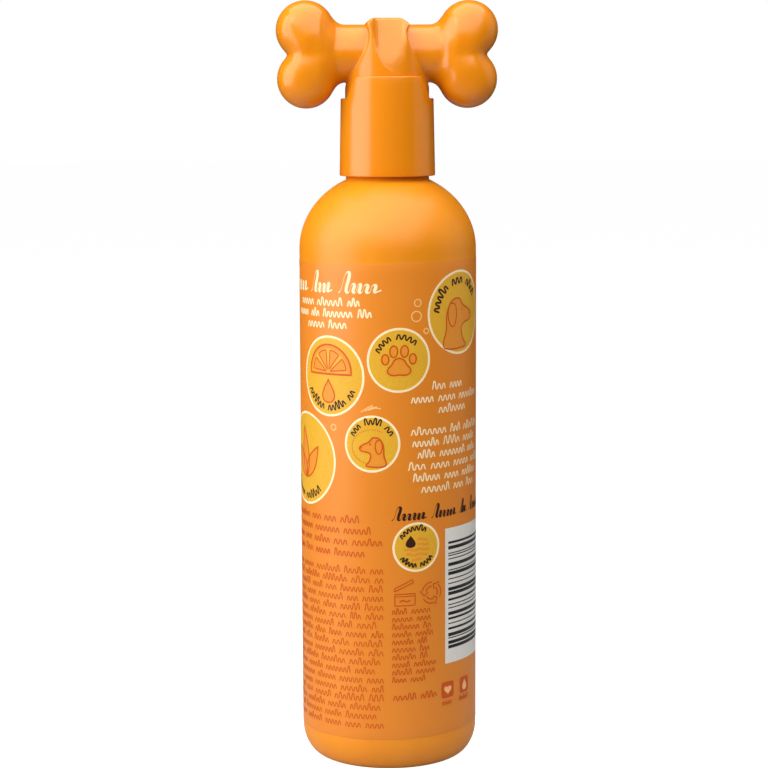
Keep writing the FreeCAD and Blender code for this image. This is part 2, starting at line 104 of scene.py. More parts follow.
# ---- Collar ----
COLLAR_R = COLLAR_HIGH[0]
COLLAR_TOP_R = 13.38
COLLAR_BORE_R = 12.5
COLLAR_FIT_R = 13.0
COLLAR_LEDGE_Z = 189.35
NOTCH_Z = 194.6
TONGUE_LOW_HALF = 64.0      # degrees from a tongue's middle to its side, at the notch
TONGUE_TOP_HALF = 46.0      # the same at its top
TONGUE_ROUND = 1.5
NOTCH_FILLET = 0.6
RIM_ROUND = 0.35
INNER_ROUND = 0.2

# ---- Press head ----
SKIRT_R = 12.2
SKIRT_BORE_R = 10.85
SKIRT_LOW = 193.85
HEAD_FLAT_Z = 217.45
HEAD_FLAT_X = -0.35         # the top flat sits a little to one side
SHAFT_Z = 207.45
SHAFT_R = 8.3
SHAFT_HALF = 15.5
UPPER_LOBE = (23.64, 214.2, 8.495)      # distance out along the bone, height, radius
LOWER_LOBE = (23.45, 200.15, 8.45)
END_DEPTH = 9.7             # half the thickness of the bone's ends, front to back
END_POWER = 2.6             # 2 would make an end's lobes balls; above it their fronts are flatter
FORK = (21.0, 207.2)        # middle of the cushion between an end's two lobes
FORK_R = (7.0, 9.8, 9.6)    # its half-sizes
FORK_POWER = 3.0
LOBE_BLEND = 0.8            # crease between an end's two lobes
BONE_BLEND = 3.3            # how softly the shaft swells into the ends
FORK_BLEND = (0.7, 1.5)     # blend of the cushion: at the shaft, and what the outer part adds
WAIST_HALF = (5.3, 0.9)     # half the block's waist between the arms, and what its top adds
FLANK_AT = (5.4, 209.6)     # a point of the block's sloping flank, out and up
FLANK_WAY = (0.857, 0.515)  # which way the flank faces
TOP_HALF = 4.2              # half the width of the block's flat top
BEVEL_WAY = (0.60, 0.80)    # which way the bevels beside the top face
BLOCK_BLEND = 0.7           # fillet between the block and the shaft
SHELL_WALL = 1.6
DISH_HALF = 4.8             # finger dish: half its width
DISH_X = 0.6                # its middle, at its straight upper part
DISH_LEAN = 0.2             # sideways shift of the middle per millimetre below that part
DISH_TURN_Z = 209.0         # where the straight sides turn into the round lower end
DISH_FOOT_Z = 202.1
DISH_FLARE = 0.0667         # depth of the floor, per its height above the foot to the power 1.5
DISH_HOLLOW_R = 60.0        # sideways hollow of the floor
DISH_FOOT_BLEND = (0.7, 1.6)    # blend of its floor and sides: low down, and what the top adds
DISH_EDGE_BLEND = (0.3, 0.7)    # rounding of its rim: where crisp, and what the soft side adds
OUTLET_Z = 208.2
OUTLET_HOLE_R = 3.3
GROOVE_R = 11.35
GROOVE_LOW = 199.35
GROOVE_TOP = 200.95
SNAP_X = 17.0
SNAP_PIN_R = 1.2
SNAP_BOSS_R = 2.6
SNAP_REACH = 4.0
HEAD_GRID = 0.35

# ---- Return spring ----
WIRE_R = 0.35
SPRING_TURNS = 6
END_TURN = 0.75             # closed part of a turn at each end
END_PITCH = 0.72


# ---- Mesh helpers ----
def make_piece(name, points, faces, material, body, nodes=(), smooth=True):
    """One mesh piece from points in millimetres, riding on a body."""
    mesh = bpy.data.meshes.new(name)
    mesh.from_pydata((np.asarray(points, float) * MM).tolist(), [], [tuple(f) for f in faces])
    mesh.validate()
    mesh.update()
    mesh.polygons.foreach_set("use_smooth", [smooth] * len(mesh.polygons))
    piece = bpy.data.objects.new(name, mesh)
    bpy.context.scene.collection.objects.link(piece)
    mesh.materials.append(material)
    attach(piece, body)
    if nodes:
        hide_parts(*nodes)
    return piece


def loop_faces(rows, columns, closed_rows=False):
    """Quads between rows of points that each go right round."""
    faces = []
    last = rows if closed_rows else rows - 1
    for i in range(last):
        a = i * columns
        b = ((i + 1) % rows) * columns
        for j in range(columns):
            k = (j + 1) % columns
            faces.append((a + j, a + k, b + k, b + j))
    return faces


def rounded_path(corners, radii, step=0.12):
    """Open polyline through corners, each rounded with its own radius."""
    path = [np.array(corners[0], float)]
    for before, corner, after, radius in zip(corners, corners[1:], corners[2:], radii):
        corner = np.array(corner, float)
        back = np.array(before, float) - corner
        ahead = np.array(after, float) - corner
        back /= np.linalg.norm(back)
        ahead /= np.linalg.norm(ahead)
        half = math.acos(np.clip(back @ ahead, -1, 1)) / 2
        reach = radius / math.tan(half)
        middle = corner + (back + ahead) / np.linalg.norm(back + ahead) * (radius / math.sin(half))
        start = corner + back * reach - middle
        end = corner + ahead * reach - middle
        turn = math.pi - 2 * half
        count = max(3, int(radius * turn / step))
        for i in range(count + 1):
            t = i / count
            spoke = start * math.sin((1 - t) * turn) + end * math.sin(t * turn)
            path.append(middle + spoke / math.sin(turn))
    path.append(np.array(corners[-1], float))
    return path


def resample(path, step):
    """Extra points on the long stretches of a polyline."""
    out = [path[0]]
    for a, b in zip(path, path[1:]):
        count = max(1, int(math.ceil(np.linalg.norm(b - a) / step)))
        out.extend(a + (b - a) * i / count for i in range(1, count + 1))
    return out


# ---- Materials ----
def linear(red, green, blue):
    """Scene-linear colour from display values of 0 to 255."""
    values = []
    for c in (red, green, blue):
        c = c / 255
        values.append(c / 12.92 if c <= 0.04045 else ((c + 0.055) / 1.055) ** 2.4)
    return (*values, 1.0)


class Shader:
    """A Principled material with the few nodes that every finish here uses."""

    def __init__(self, name, **numbers):
        self.material = bpy.data.materials.new(name)
        self.material.use_nodes = True
        self.nodes = self.material.node_tree.nodes
        self.links = self.material.node_tree.links
        self.bsdf = self.nodes["Principled BSDF"]
        self.place = self.nodes.new("ShaderNodeTexCoord").outputs["Object"]
        self.set_numbers(self.bsdf, numbers)

    def set_numbers(self, node, numbers):
        """Numbers for a node's inputs, each under its input's name with _ for a space."""
        for key, value in numbers.items():
            node.inputs[key.replace("_", " ")].default_value = value

    def add(self, kind, **numbers):
        node = self.nodes.new("ShaderNode" + kind)
        self.set_numbers(node, numbers)
        return node

    def stretched(self, scale):
        """The piece's own coordinates, multiplied by a scale along each axis."""
        mapping = self.add("Mapping", Scale=scale)
        self.links.new(self.place, mapping.inputs["Vector"])
        return mapping.outputs["Vector"]

    def noise(self, scale, detail=4.0, stretch=(1, 1, 1), roughness=0.55):
        node = self.add("TexNoise", Scale=scale, Detail=detail, Roughness=roughness)
        self.links.new(self.stretched(stretch), node.inputs["Vector"])
        return node.outputs["Fac"]

    def glow(self, scale):
        """1 at the piece's own middle, falling to 0 at a distance of 1 / scale metres."""
        node = self.add("TexGradient")
        node.gradient_type = "SPHERICAL"
        self.links.new(self.stretched((scale, scale, scale)), node.inputs["Vector"])
        return node.outputs["Fac"]

    def spread(self, value, low, high, out_low, out_high):
        node = self.add("MapRange", From_Min=low, From_Max=high, To_Min=out_low, To_Max=out_high)
        self.links.new(value, node.inputs["Value"])
        return node.outputs["Result"]

    def colours(self, value, stops):
        node = self.add("ValToRGB")
        ramp = node.color_ramp
        while len(ramp.elements) < len(stops):
            ramp.elements.new(0.5)
        for element, (at, colour) in zip(ramp.elements, stops):
            element.position = at
            element.color = colour
        self.links.new(value, node.inputs["Fac"])
        return node.outputs["Color"]

    def combine(self, operation, a, b):
        node = self.add("Math")
        node.operation = operation
        for value, socket in ((a, node.inputs[0]), (b, node.inputs[1])):
            if isinstance(value, (int, float)):
                socket.default_value = value
            else:
                self.links.new(value, socket)
        return node.outputs[0]

    def set(self, socket, value):
        self.links.new(value, self.bsdf.inputs[socket])

    def bump(self, height, depth_mm):
        node = self.add("Bump", Strength=1.0, Distance=depth_mm * MM)
        self.links.new(height, node.inputs["Height"])
        self.links.new(node.outputs["Normal"], self.bsdf.inputs["Normal"])


def moulded_plastic(name, dark, light, rough, peel_mm, peel_scale, **numbers):
    """Coloured plastic: faint flow marks in the colour, uneven gloss and a fine orange-peel surface."""
    shader = Shader(name, **numbers)
    flow = shader.noise(45, 5, (1, 1, 0.35))
    shader.set("Base Color", shader.colours(flow, [(0.3, linear(*dark)), (0.7, linear(*light))]))
    wear = shader.noise(160, 6, (1, 1, 0.6), 0.65)
    shader.set("Roughness", shader.spread(wear, 0.3, 0.75, rough[0], rough[1]))
    shader.bump(shader.noise(peel_scale, 3), peel_mm)
    return shader.material


def ink(name, dark, light):
    """Printed ink: a fine screen grain in the colour and a duller gloss than the film's."""
    shader = Shader(name, Specular_IOR_Level=0.3)
    speck = shader.noise(2600, 2)
    shader.set("Base Color", shader.colours(speck, [(0.35, linear(*dark)), (0.65, linear(*light))]))
    shader.set("Roughness", shader.spread(shader.noise(300, 4), 0.3, 0.7, 0.36, 0.48))
    shader.bump(speck, 0.004)
    return shader.material


BOTTLE_PLASTIC = moulded_plastic(
    "bottle_plastic", (236, 139, 7), (240, 147, 10), (0.34, 0.44), 0.012, 900,
    Subsurface_Weight=0.15, Subsurface_Scale=0.002,
)
CAP_PLASTIC = moulded_plastic(
    "cap_plastic", (231, 133, 7), (235, 140, 10), (0.21, 0.28), 0.006, 1100,
    Subsurface_Weight=0.12, Subsurface_Scale=0.002, Specular_IOR_Level=0.6,
)
NATURAL_PLASTIC = moulded_plastic(
    "natural_plastic", (222, 222, 214), (232, 232, 226), (0.35, 0.5), 0.01, 900,
    Subsurface_Weight=0.3, Subsurface_Scale=0.002,
)
TUBE_PLASTIC = moulded_plastic(
    "tube_plastic", (226, 230, 228), (236, 240, 238), (0.3, 0.45), 0.01, 700,
    Subsurface_Weight=0.4, Subsurface_Scale=0.003,
)
PISTON_PLASTIC = moulded_plastic(
    "piston_plastic", (236, 236, 230), (244, 244, 240), (0.4, 0.55), 0.01, 700,
    Subsurface_Weight=0.3, Subsurface_Scale=0.002,
)
GASKET_FOAM = moulded_plastic(
    "gasket_foam", (226, 226, 220), (240, 240, 236), (0.75, 0.9), 0.06, 2400,
)
STEEL = moulded_plastic(
    "drawn_steel", (168, 168, 172), (188, 188, 192), (0.22, 0.38), 0.004, 3000, Metallic=1.0,
)
LABEL_FILM = moulded_plastic(
    "label_film", (226, 130, 26), (230, 135, 31), (0.36, 0.46), 0.006, 1400,
)
BADGE_INK = ink("badge_ink", (222, 165, 38), (230, 175, 50))
CREAM_INK = ink("cream_ink", (252, 226, 176), (255, 236, 194))
PALE_INK = ink("pale_ink", (246, 186, 112), (250, 198, 128))
ICON_INK = ink("icon_ink", (228, 140, 40), (233, 149, 50))
RUST_INK = ink("rust_ink", (204, 76, 8), (212, 86, 12))
DARK_INK = ink("dark_ink", (46, 18, 6), (58, 26, 10))
PANEL_INK = ink("panel_ink", (226, 222, 214), (234, 230, 222))
BLACK_INK = ink("black_ink", (20, 18, 18), (32, 30, 30))


# ---- Press head: a distance field turned into a surface ----
def soft_min(a, b, k):
    h = np.clip(0.5 + 0.5 * (b - a) / k, 0, 1)
    return b + (a - b) * h - k * h * (1 - h)


def soft_max(a, b, k):
    return -soft_min(-a, -b, k)


def ramp(value, low, high):
    t = np.clip((value - low) / (high - low), 0, 1)
    return t * t * (3 - 2 * t)


def cushion(a, b, c, power):
    """Field of a ball of half-size 1 with flattened sides; a power of 2 is a true ball."""
    return (np.abs(a) ** power + np.abs(b) ** power + np.abs(c) ** power) ** (1 / power) - 1


def bone_field(x, y, z):
    """Distance to the bone: a round shaft that swells into two lobes at each end."""
    along = np.abs(x)
    past = np.maximum(along - SHAFT_HALF, 0)
    shaft = np.sqrt(past ** 2 + y ** 2 + (z - SHAFT_Z) ** 2) - SHAFT_R
    lobes = []
    for out, height, radius in (UPPER_LOBE, LOWER_LOBE):
        disc = np.sqrt((along - out) ** 2 + (z - height) ** 2) / radius
        lobes.append(cushion(disc, y / END_DEPTH, 0, END_POWER) * radius)
    ends = soft_min(lobes[0], lobes[1], LOBE_BLEND)
    across, deep, tall = FORK_R
    fork = cushion((along - FORK[0]) / across, y / deep, (z - FORK[1]) / tall, FORK_POWER) * across
    crease = FORK_BLEND[0] + FORK_BLEND[1] * ramp(along, 17.0, 20.0)
    return soft_min(soft_min(shaft, ends, BONE_BLEND), fork, crease)


def block_field(x, y, z):
    """Distance to the middle block: the skirt's cylinder, narrowing to a waist between the arms."""
    across = np.abs(x)
    flank = (across - FLANK_AT[0]) * FLANK_WAY[0] + (z - FLANK_AT[1]) * FLANK_WAY[1]
    waist = across - (WAIST_HALF[0] + WAIST_HALF[1] * ramp(z, 212.8, 216.2))
    sides = soft_min(flank, waist, 2.2)
    bevel = (np.abs(x - HEAD_FLAT_X) - TOP_HALF) * BEVEL_WAY[0] + (z - HEAD_FLAT_Z) * BEVEL_WAY[1]
    skirt = np.sqrt(x ** 2 + y ** 2) - SKIRT_R
    body = soft_max(sides, skirt, 0.5)
    body = soft_max(body, bevel, 0.6)
    body = soft_max(body, z - HEAD_FLAT_Z, 0.5)
    return soft_max(body, SKIRT_LOW - z, 0.4)


def dish_field(x, y, z):
    """Distance to the scoop of the finger dish: a floor that leans back and a tongue-shaped outline."""
    below = np.maximum(DISH_TURN_Z - z, 0)
    side = x - DISH_X - DISH_LEAN * below
    depth = DISH_FLARE * np.maximum(z - DISH_FOOT_Z, 0) ** 1.5
    floor = y + SKIRT_R - depth + side ** 2 / (2 * DISH_HOLLOW_R)
    reach = np.sqrt((side / DISH_HALF) ** 2 + (below / (DISH_TURN_Z - DISH_FOOT_Z)) ** 2)
    blend = DISH_FOOT_BLEND[0] + DISH_FOOT_BLEND[1] * ramp(z, 204.0, 211.0)
    return soft_max(floor, (reach - 1) * DISH_HALF, blend)


def head_field(x, y, z):
    solid = soft_min(bone_field(x, y, z), block_field(x, y, z), BLOCK_BLEND)
    soft_side = np.maximum(ramp(x, 0.5, 4.0), ramp(z, 207.0, 212.0))
    edge = DISH_EDGE_BLEND[0] + DISH_EDGE_BLEND[1] * soft_side
    return soft_max(solid, -dish_field(x, y, z), edge)


def rod_y_field(x, y, z, at_x, at_z, radius, low_y, high_y):
    round_side = np.sqrt((x - at_x) ** 2 + (z - at_z) ** 2) - radius
    return np.maximum(round_side, np.maximum(low_y - y, y - high_y))


def shell_field(x, y, z):
    """The hollow head: wall, skirt bore, groove for the core's disc and outlet hole."""
    outer = head_field(x, y, z)
    radial = np.sqrt(x ** 2 + y ** 2)
    hollow = outer + SHELL_WALL
    skirt_bore = np.maximum(radial - SKIRT_BORE_R, z - GROOVE_TOP)
    groove = np.maximum(radial - GROOVE_R, np.abs(z - (GROOVE_LOW + GROOVE_TOP) / 2) - 0.8)
    hollow = np.minimum(np.minimum(hollow, skirt_bore), groove)
    shell = soft_max(outer, -hollow, 0.3)
    outlet = rod_y_field(x, y, z, 0, OUTLET_Z, OUTLET_HOLE_R, 3.4, 30)
    return soft_max(shell, -outlet, 0.3)


def rear_field(x, y, z):
    shell = soft_max(shell_field(x, y, z), y + 0.03, 0.35)
    across = np.abs(x)
    back = -(SHAFT_R - SHELL_WALL / 2)
    shoulder = rod_y_field(across, y, z, SNAP_X, SHAFT_Z, SNAP_BOSS_R, back, -0.03)
    pin = rod_y_field(across, y, z, SNAP_X, SHAFT_Z, SNAP_PIN_R, back, SNAP_REACH)
    return soft_min(shell, np.minimum(shoulder, pin), 0.3)


def front_field(x, y, z):
    shell = soft_max(shell_field(x, y, z), 0.03 - y, 0.35)
    across = np.abs(x)
    back = SHAFT_R - SHELL_WALL / 2
    boss = rod_y_field(across, y, z, SNAP_X, SHAFT_Z, SNAP_BOSS_R, 0.03, back)
    hole = rod_y_field(across, y, z, SNAP_X, SHAFT_Z, SNAP_PIN_R + 0.05, -1, SNAP_REACH + 0.4)
    return soft_max(soft_min(shell, boss, 0.3), -hole, 0.2)


def net_surface(field, low, high, step):
    """Points and quads of a field's zero surface: a surface net, settled onto the surface."""
    axes = [np.arange(a, b + step, step) for a, b in zip(low, high)]
    values = field(*np.meshgrid(*axes, indexing="ij"))
    cells = tuple(n - 1 for n in values.shape)
    total = np.zeros((*cells, 3))
    count = np.zeros(cells)
    crossings = []
    for axis in range(3):
        b, c = (axis + 1) % 3, (axis + 2) % 3
        first = np.take(values, range(0, values.shape[axis] - 1), axis)
        second = np.take(values, range(1, values.shape[axis]), axis)
        cross = (first < 0) != (second < 0)
        part = np.where(cross, first / np.where(cross, first - second, 1), 0)
        crossings.append((cross, first < 0))
        for p in (0, 1):
            for q in (0, 1):
                cut = [slice(None)] * 3
                cut[b] = slice(p, p + cells[b])
                cut[c] = slice(q, q + cells[c])
                here = cross[tuple(cut)]
                total[..., axis] += part[tuple(cut)]
                total[..., b] += p * here
                total[..., c] += q * here
                count += here
    active = count > 0
    index = np.full(cells, -1)
    index[active] = np.arange(active.sum())
    corner = np.argwhere(active)
    points = (corner + total[active] / count[active][:, None]) * step + np.array(low)
    quads = []
    for axis in range(3):
        cross, inner = crossings[axis]
        b, c = (axis + 1) % 3, (axis + 2) % 3
        spots = np.argwhere(cross)
        keep = (spots[:, b] > 0) & (spots[:, c] > 0) & (spots[:, b] < cells[b]) & (spots[:, c] < cells[c])
        spots = spots[keep]
        flip = inner[tuple(spots.T)]
        step_b = np.eye(3, dtype=int)[b]
        step_c = np.eye(3, dtype=int)[c]
        ring = [spots - step_b - step_c, spots - step_c, spots, spots - step_b]
        quad = np.stack([index[tuple(r.T)] for r in ring], 1)
        quad[~flip] = quad[~flip][:, ::-1]
        quads.append(quad)
    quads = np.concatenate(quads)
    return settle(field, points, quads, step), quads


def settle(field, points, quads, step):
    """Evens out the net and moves every point onto the field's zero surface."""
    reach = 0.04
    for turn in range(4):
        if turn < 3:
            near = np.zeros_like(points)
            links = np.zeros(len(points))
            for i in range(4):
                a, b = quads[:, i], quads[:, (i + 1) % 4]
                np.add.at(near, a, points[b])
                np.add.at(near, b, points[a])
                np.add.at(links, a, 1)
                np.add.at(links, b, 1)
            points = points * 0.5 + near / links[:, None] * 0.5
        for _ in range(2):
            value = field(*points.T)
            slope = np.stack([
                (field(*(points + offset).T) - field(*(points - offset).T)) / (2 * reach)
                for offset in np.eye(3) * reach
            ], 1)
            size = np.maximum((slope ** 2).sum(1), 0.25)
            move = slope * (value / size)[:, None]
            points = points - np.clip(move, -0.5 * step, 0.5 * step)
    return points


def make_head():
    margin = 1.2
    halves = (
        ("bone_head_rear", rear_field, "rear_bone_shell", -SKIRT_R - margin, SNAP_REACH + margin),
        ("bone_head_front", front_field, "front_bone_shell", -margin, SKIRT_R + margin),
    )
    for name, field, node, near, far in halves:
        low = [HEAD_LOW[0] - margin, near, HEAD_LOW[2] - margin]
        high = [HEAD_HIGH[0] + margin, far, HEAD_HIGH[2] + margin]
        points, quads = net_surface(field, low, high, HEAD_GRID)
        make_piece(name, points, quads, CAP_PLASTIC, "press_head", [node])


# ---- Collar ----
def collar_rim():
    """The collar's upper edge all the way round, as (arc length, height) with outward normals."""
    arc = math.radians(1) * COLLAR_TOP_R
    top = COLLAR_HIGH[2]
    tongue = [(0, top), (TONGUE_TOP_HALF * arc, top)]
    notch = [(TONGUE_LOW_HALF * arc, NOTCH_Z), (90 * arc, NOTCH_Z)]
    quarter = np.array(resample(rounded_path(tongue + notch, [TONGUE_ROUND, NOTCH_FILLET]), 0.7))
    mirrored = quarter[::-1][1:] * [-1, 1] + [180 * arc, 0]
    half = np.concatenate([quarter, mirrored])
    rim = np.concatenate([half, half[1:-1] + [180 * arc, 0]])
    ahead = np.roll(rim, -1, 0) - rim
    ahead[-1, 0] += 360 * arc
    behind = np.roll(ahead, 1, 0)
    way = ahead / np.linalg.norm(ahead, axis=1)[:, None] + behind / np.linalg.norm(behind, axis=1)[:, None]
    way /= np.linalg.norm(way, axis=1)[:, None]
    return rim, np.stack([-way[:, 1], way[:, 0]], 1)


def make_collar():
    """Rows of points up the outside, over the upper edge, down the bore and the wider fit under it."""
    rim, normal = collar_rim()
    low, top = COLLAR_LOW[2], COLLAR_HIGH[2]
    slope = (COLLAR_TOP_R - COLLAR_R) / (top - low)
    rows = []

    def add(inset, base=0.0, share=1.0, sink=0.0, bore=None):
        """One row, a share of the way from a base height to the edge; bore is its radius if inside."""
        spot = rim - normal * inset
        z = base * (1 - share) + spot[:, 1] * share
        angle = spot[:, 0] / COLLAR_TOP_R - math.pi / 2
        radius = (bore or COLLAR_R + slope * (z - low)) - sink
        rows.append(np.stack([radius * np.cos(angle), radius * np.sin(angle), z], 1))

    quarter = [math.radians(18 * i) for i in range(6)]
    for a in quarter:
        add(RIM_ROUND, low + RIM_ROUND * (1 - math.cos(a)), 0, sink=RIM_ROUND * (1 - math.sin(a)))
    body_rows = 14
    for i in range(1, body_rows):
        add(RIM_ROUND, low + RIM_ROUND, i / body_rows)
    for a in quarter:
        add(RIM_ROUND * (1 - math.sin(a)), sink=RIM_ROUND * (1 - math.cos(a)))
    for a in quarter:
        add(INNER_ROUND * (1 - math.cos(a)), bore=COLLAR_BORE_R + INNER_ROUND * (1 - math.sin(a)))
    for share in (0.7, 0.4, 0.0):
        add(INNER_ROUND, COLLAR_LEDGE_Z, share, bore=COLLAR_BORE_R)
    for height in (COLLAR_LEDGE_Z, (COLLAR_LEDGE_Z + low) / 2, low):
        add(INNER_ROUND, height, 0, bore=COLLAR_FIT_R)
    points = np.concatenate(rows)
    faces = loop_faces(len(rows), len(rim), closed_rows=True)
    make_piece("collar", points, faces, CAP_PLASTIC, "closure", ["collar_shroud"])


# ---- Bottle ----
def bottle_profile(inset):
    """(radius, height) points up one side of the wall, from the middle of the base to the neck."""
    out = []
    ring_r = STAND_RING_R + inset
    heel_r = BODY_R - HEEL_OUT
    for i in range(1, 10):
        share = i / 9
        out.append((ring_r * share, inset + PUSH_UP * (1 - share ** 2.2)))
    out.extend((ring_r + (heel_r - ring_r) * t, inset) for t in (0.3, 0.65))
    for i in range(17):
        a = i / 16 * math.pi / 2
        out.append((heel_r + (HEEL_OUT - inset) * math.sin(a), HEEL_UP - (HEEL_UP - inset) * math.cos(a)))
    straight = 24
    for i in range(1, straight):
        out.append((BODY_R - inset, HEEL_UP + (SHOULDER_Z - HEEL_UP) * i / straight))
    neck_r = NECK_BORE_R if inset else NECK_BEAD_R
    end = math.acos(neck_r / (BODY_R - inset))
    for i in range(29):
        a = end * i / 28
        out.append(((BODY_R - inset) * math.cos(a), SHOULDER_Z + (SHOULDER_RISE - inset) * math.sin(a)))
    return out


def thread_rise(angle, z):
    """How far the neck's thread stands out of its root at an angle and a height."""
    best = 0.0
    for turn in range(2):
        travel = angle / (2 * math.pi) + turn
        if travel > THREAD_TURNS:
            continue
        away = abs(z - THREAD_Z - PITCH * travel)
        flank = (THREAD_BASE / 2 - away) / ((THREAD_BASE - THREAD_CREST) / 2)
        fade = min(1.0, travel / 0.06, (THREAD_TURNS - travel) / 0.06)
        best = max(best, min(1.0, max(0.0, flank)) * max(0.0, fade))
    return best * (NECK_CREST_R - NECK_ROOT_R)


def make_bottle():
    outside = bottle_profile(0.0)
    outside.extend([(NECK_BEAD_R, NECK_BEAD_TOP - 0.3), (NECK_BEAD_R - 0.3, NECK_BEAD_TOP)])
    outside.append((NECK_ROOT_R, NECK_BEAD_TOP))
    first_thread = len(outside)
    fine = 0.18
    rows = int((NECK_TOP - 0.5 - NECK_BEAD_TOP) / fine)
    outside.extend((NECK_ROOT_R, NECK_BEAD_TOP + 0.1 + i * fine) for i in range(rows))
    last_thread = len(outside)
    outside.extend([(NECK_ROOT_R, NECK_TOP - 0.35), (NECK_ROOT_R - 0.3, NECK_TOP)])
    outside.extend([(NECK_BORE_R + 0.2, NECK_TOP), (NECK_BORE_R, NECK_TOP - 0.2)])
    profile = outside + bottle_profile(WALL)[::-1]
    turn = 2 * math.pi / AROUND
    points = []
    for row, (radius, z) in enumerate(profile):
        for j in range(AROUND):
            r = radius + (thread_rise(j * turn, z) if first_thread <= row < last_thread else 0)
            points.append((r * math.cos(j * turn), r * math.sin(j * turn), z))
    faces = loop_faces(len(profile), AROUND)
    foot, floor = len(points), len(points) + 1
    points.extend([(0, 0, PUSH_UP), (0, 0, PUSH_UP + WALL)])
    last = (len(profile) - 1) * AROUND
    for j in range(AROUND):
        k = (j + 1) % AROUND
        faces.append((foot, k, j))
        faces.append((floor, last + j, last + k))
    make_piece("bottle_body", points, faces, BOTTLE_PLASTIC, "bottle", ["bottle"])


# ---- Wrap label ----
def on_label(s, z, radius):
    """Point on the wrapped label: s is the distance round it from the middle of the back, to the right."""
    angle = s / LABEL_R + VIEW_TURN
    tilt = LABEL_TILT * LABEL_R * math.sin(s / LABEL_R)
    return (radius * math.sin(angle), -radius * math.cos(angle), z + tilt)


def make_label():
    low = LABEL_LOW[2] + 0.2
    high = LABEL_HIGH[2]
    around = AROUND
    length = 2 * math.pi * LABEL_R
    inner_r = BODY_R + 0.015
    profile = [(inner_r, low), (FILM_R - 0.01, low), (FILM_R, low + 0.05)]
    count = 46
    profile.extend((FILM_R, low + 0.05 + (high - low - 0.1) * i / count) for i in range(1, count))
    profile.extend([(FILM_R, high - 0.05), (FILM_R - 0.01, high), (inner_r, high)])
    points = []
    for radius, z in profile:
        points.extend(on_label(length * j / around, z, radius) for j in range(around))
    faces = loop_faces(len(profile), around, closed_rows=True)
    make_piece("label_film", points, faces, LABEL_FILM, "bottle", ["wrap_label"])


# ---- Printing: flat shapes in millimetres round and up the label ----
class Print:
    """Everything printed in one ink."""

    LONGEST = 0.7       # longest straight stretch of a line, so that it follows the curve of the label

    def __init__(self, name, material, level):
        self.name = name
        self.material = material
        self.radius = FILM_R + INK_STEP * level
        self.points = []
        self.faces = []

    def add(self, points, faces):
        base = len(self.points)
        self.points.extend(points)
        self.faces.extend(tuple(base + i for i in face) for face in faces)

    def dense(self, line, closed=True):
        """The line's points as an array, with more of them on its long stretches."""
        line = [np.array(p, float) for p in line]
        if closed:
            return np.array(resample(line + line[:1], self.LONGEST)[:-1])
        return np.array(resample(line, self.LONGEST))

    def ribbon(self, path, width, closed=False, pen=False):
        """Line of ink along a path of (s, z) points; a pen presses harder on the way down."""
        path = self.dense(path, closed)
        if closed:
            way = np.roll(path, -1, 0) - np.roll(path, 1, 0)
        else:
            way = np.gradient(path, axis=0)
        way /= np.maximum(np.linalg.norm(way, axis=1), 1e-9)[:, None]
        side = np.stack([-way[:, 1], way[:, 0]], 1)
        half = np.full(len(path), width / 2)
        if pen:
            half *= 0.55 + 0.45 * np.clip(-way[:, 1], -1, 1)
        left = path + side * half[:, None]
        right = path - side * half[:, None]
        points = np.stack([left, right], 1).reshape(-1, 2).tolist()
        count = len(path)
        last = count if closed else count - 1
        faces = []
        for i in range(last):
            k = (i + 1) % count
            faces.append((2 * i, 2 * i + 1, 2 * k + 1, 2 * k))
        self.add(points, faces)

    def blob(self, outline):
        """Filled shape, made of smaller and smaller copies of its outline about its middle."""
        outline = self.dense(outline)
        middle = outline.mean(0)
        rings = math.ceil(np.linalg.norm(outline - middle, axis=1).max())
        points = [middle.tolist()]
        for i in range(1, rings + 1):
            points.extend((middle + (outline - middle) * i / rings).tolist())
        count = len(outline)
        faces = [(0, 1 + j, 1 + (j + 1) % count) for j in range(count)]
        for i in range(rings - 1):
            a, b = 1 + i * count, 1 + (i + 1) * count
            for j in range(count):
                k = (j + 1) % count
                faces.append((a + j, b + j, b + k, a + k))
        self.add(points, faces)

    def panel(self, s0, s1, z0, z1):
        """Upright rectangle."""
        columns = max(1, int(math.ceil((s1 - s0) / 0.8)))
        points = []
        for i in range(columns + 1):
            s = s0 + (s1 - s0) * i / columns
            points.extend([(s, z0), (s, z1)])
        self.add(points, [(2 * i, 2 * i + 2, 2 * i + 3, 2 * i + 1) for i in range(columns)])

    def outward(self, face):
        """The face, turned if need be so that it faces out of the label."""
        corners = [self.points[i] for i in face]
        area = sum(a[0] * b[1] - b[0] * a[1] for a, b in zip(corners, corners[1:] + corners[:1]))
        return face if area > 0 else face[::-1]

    def finish(self):
        points = [on_label(s, z, self.radius) for s, z in self.points]
        faces = [self.outward(face) for face in self.faces]
        make_piece(self.name, points, faces, self.material, "bottle")


def circle(s, z, radius, count=64, start=0.0, sweep=360.0):
    """Points round a circle, or along part of one."""
    whole = sweep == 360.0
    total = count if whole else count - 1
    angles = [math.radians(start + sweep * i / total) for i in range(count)]
    return [(s + radius * math.cos(a), z + radius * math.sin(a)) for a in angles]


def oval(s, z, wide, tall, count, start=0.0, power=1.0):
    """Points round an ellipse of half-sizes wide and tall; a power below 1 makes it boxy."""
    out = []
    for i in range(count):
        a = 2 * math.pi * (i + start) / count
        u = math.copysign(abs(math.cos(a)) ** power, math.cos(a))
        v = math.copysign(abs(math.sin(a)) ** power, math.sin(a))
        out.append((s + wide * u, z + tall * v))
    return out


def drop_outline(s, z, radius, height, count=36):
    """Teardrop, its point at the top and its round end at the bottom."""
    out = []
    for i in range(count):
        a = 2 * math.pi * i / count
        wide = math.sin(a) * math.sin(a / 2) ** 1.4
        out.append((s + 1.55 * radius * wide, z + math.cos(a) * height / 2))
    return out


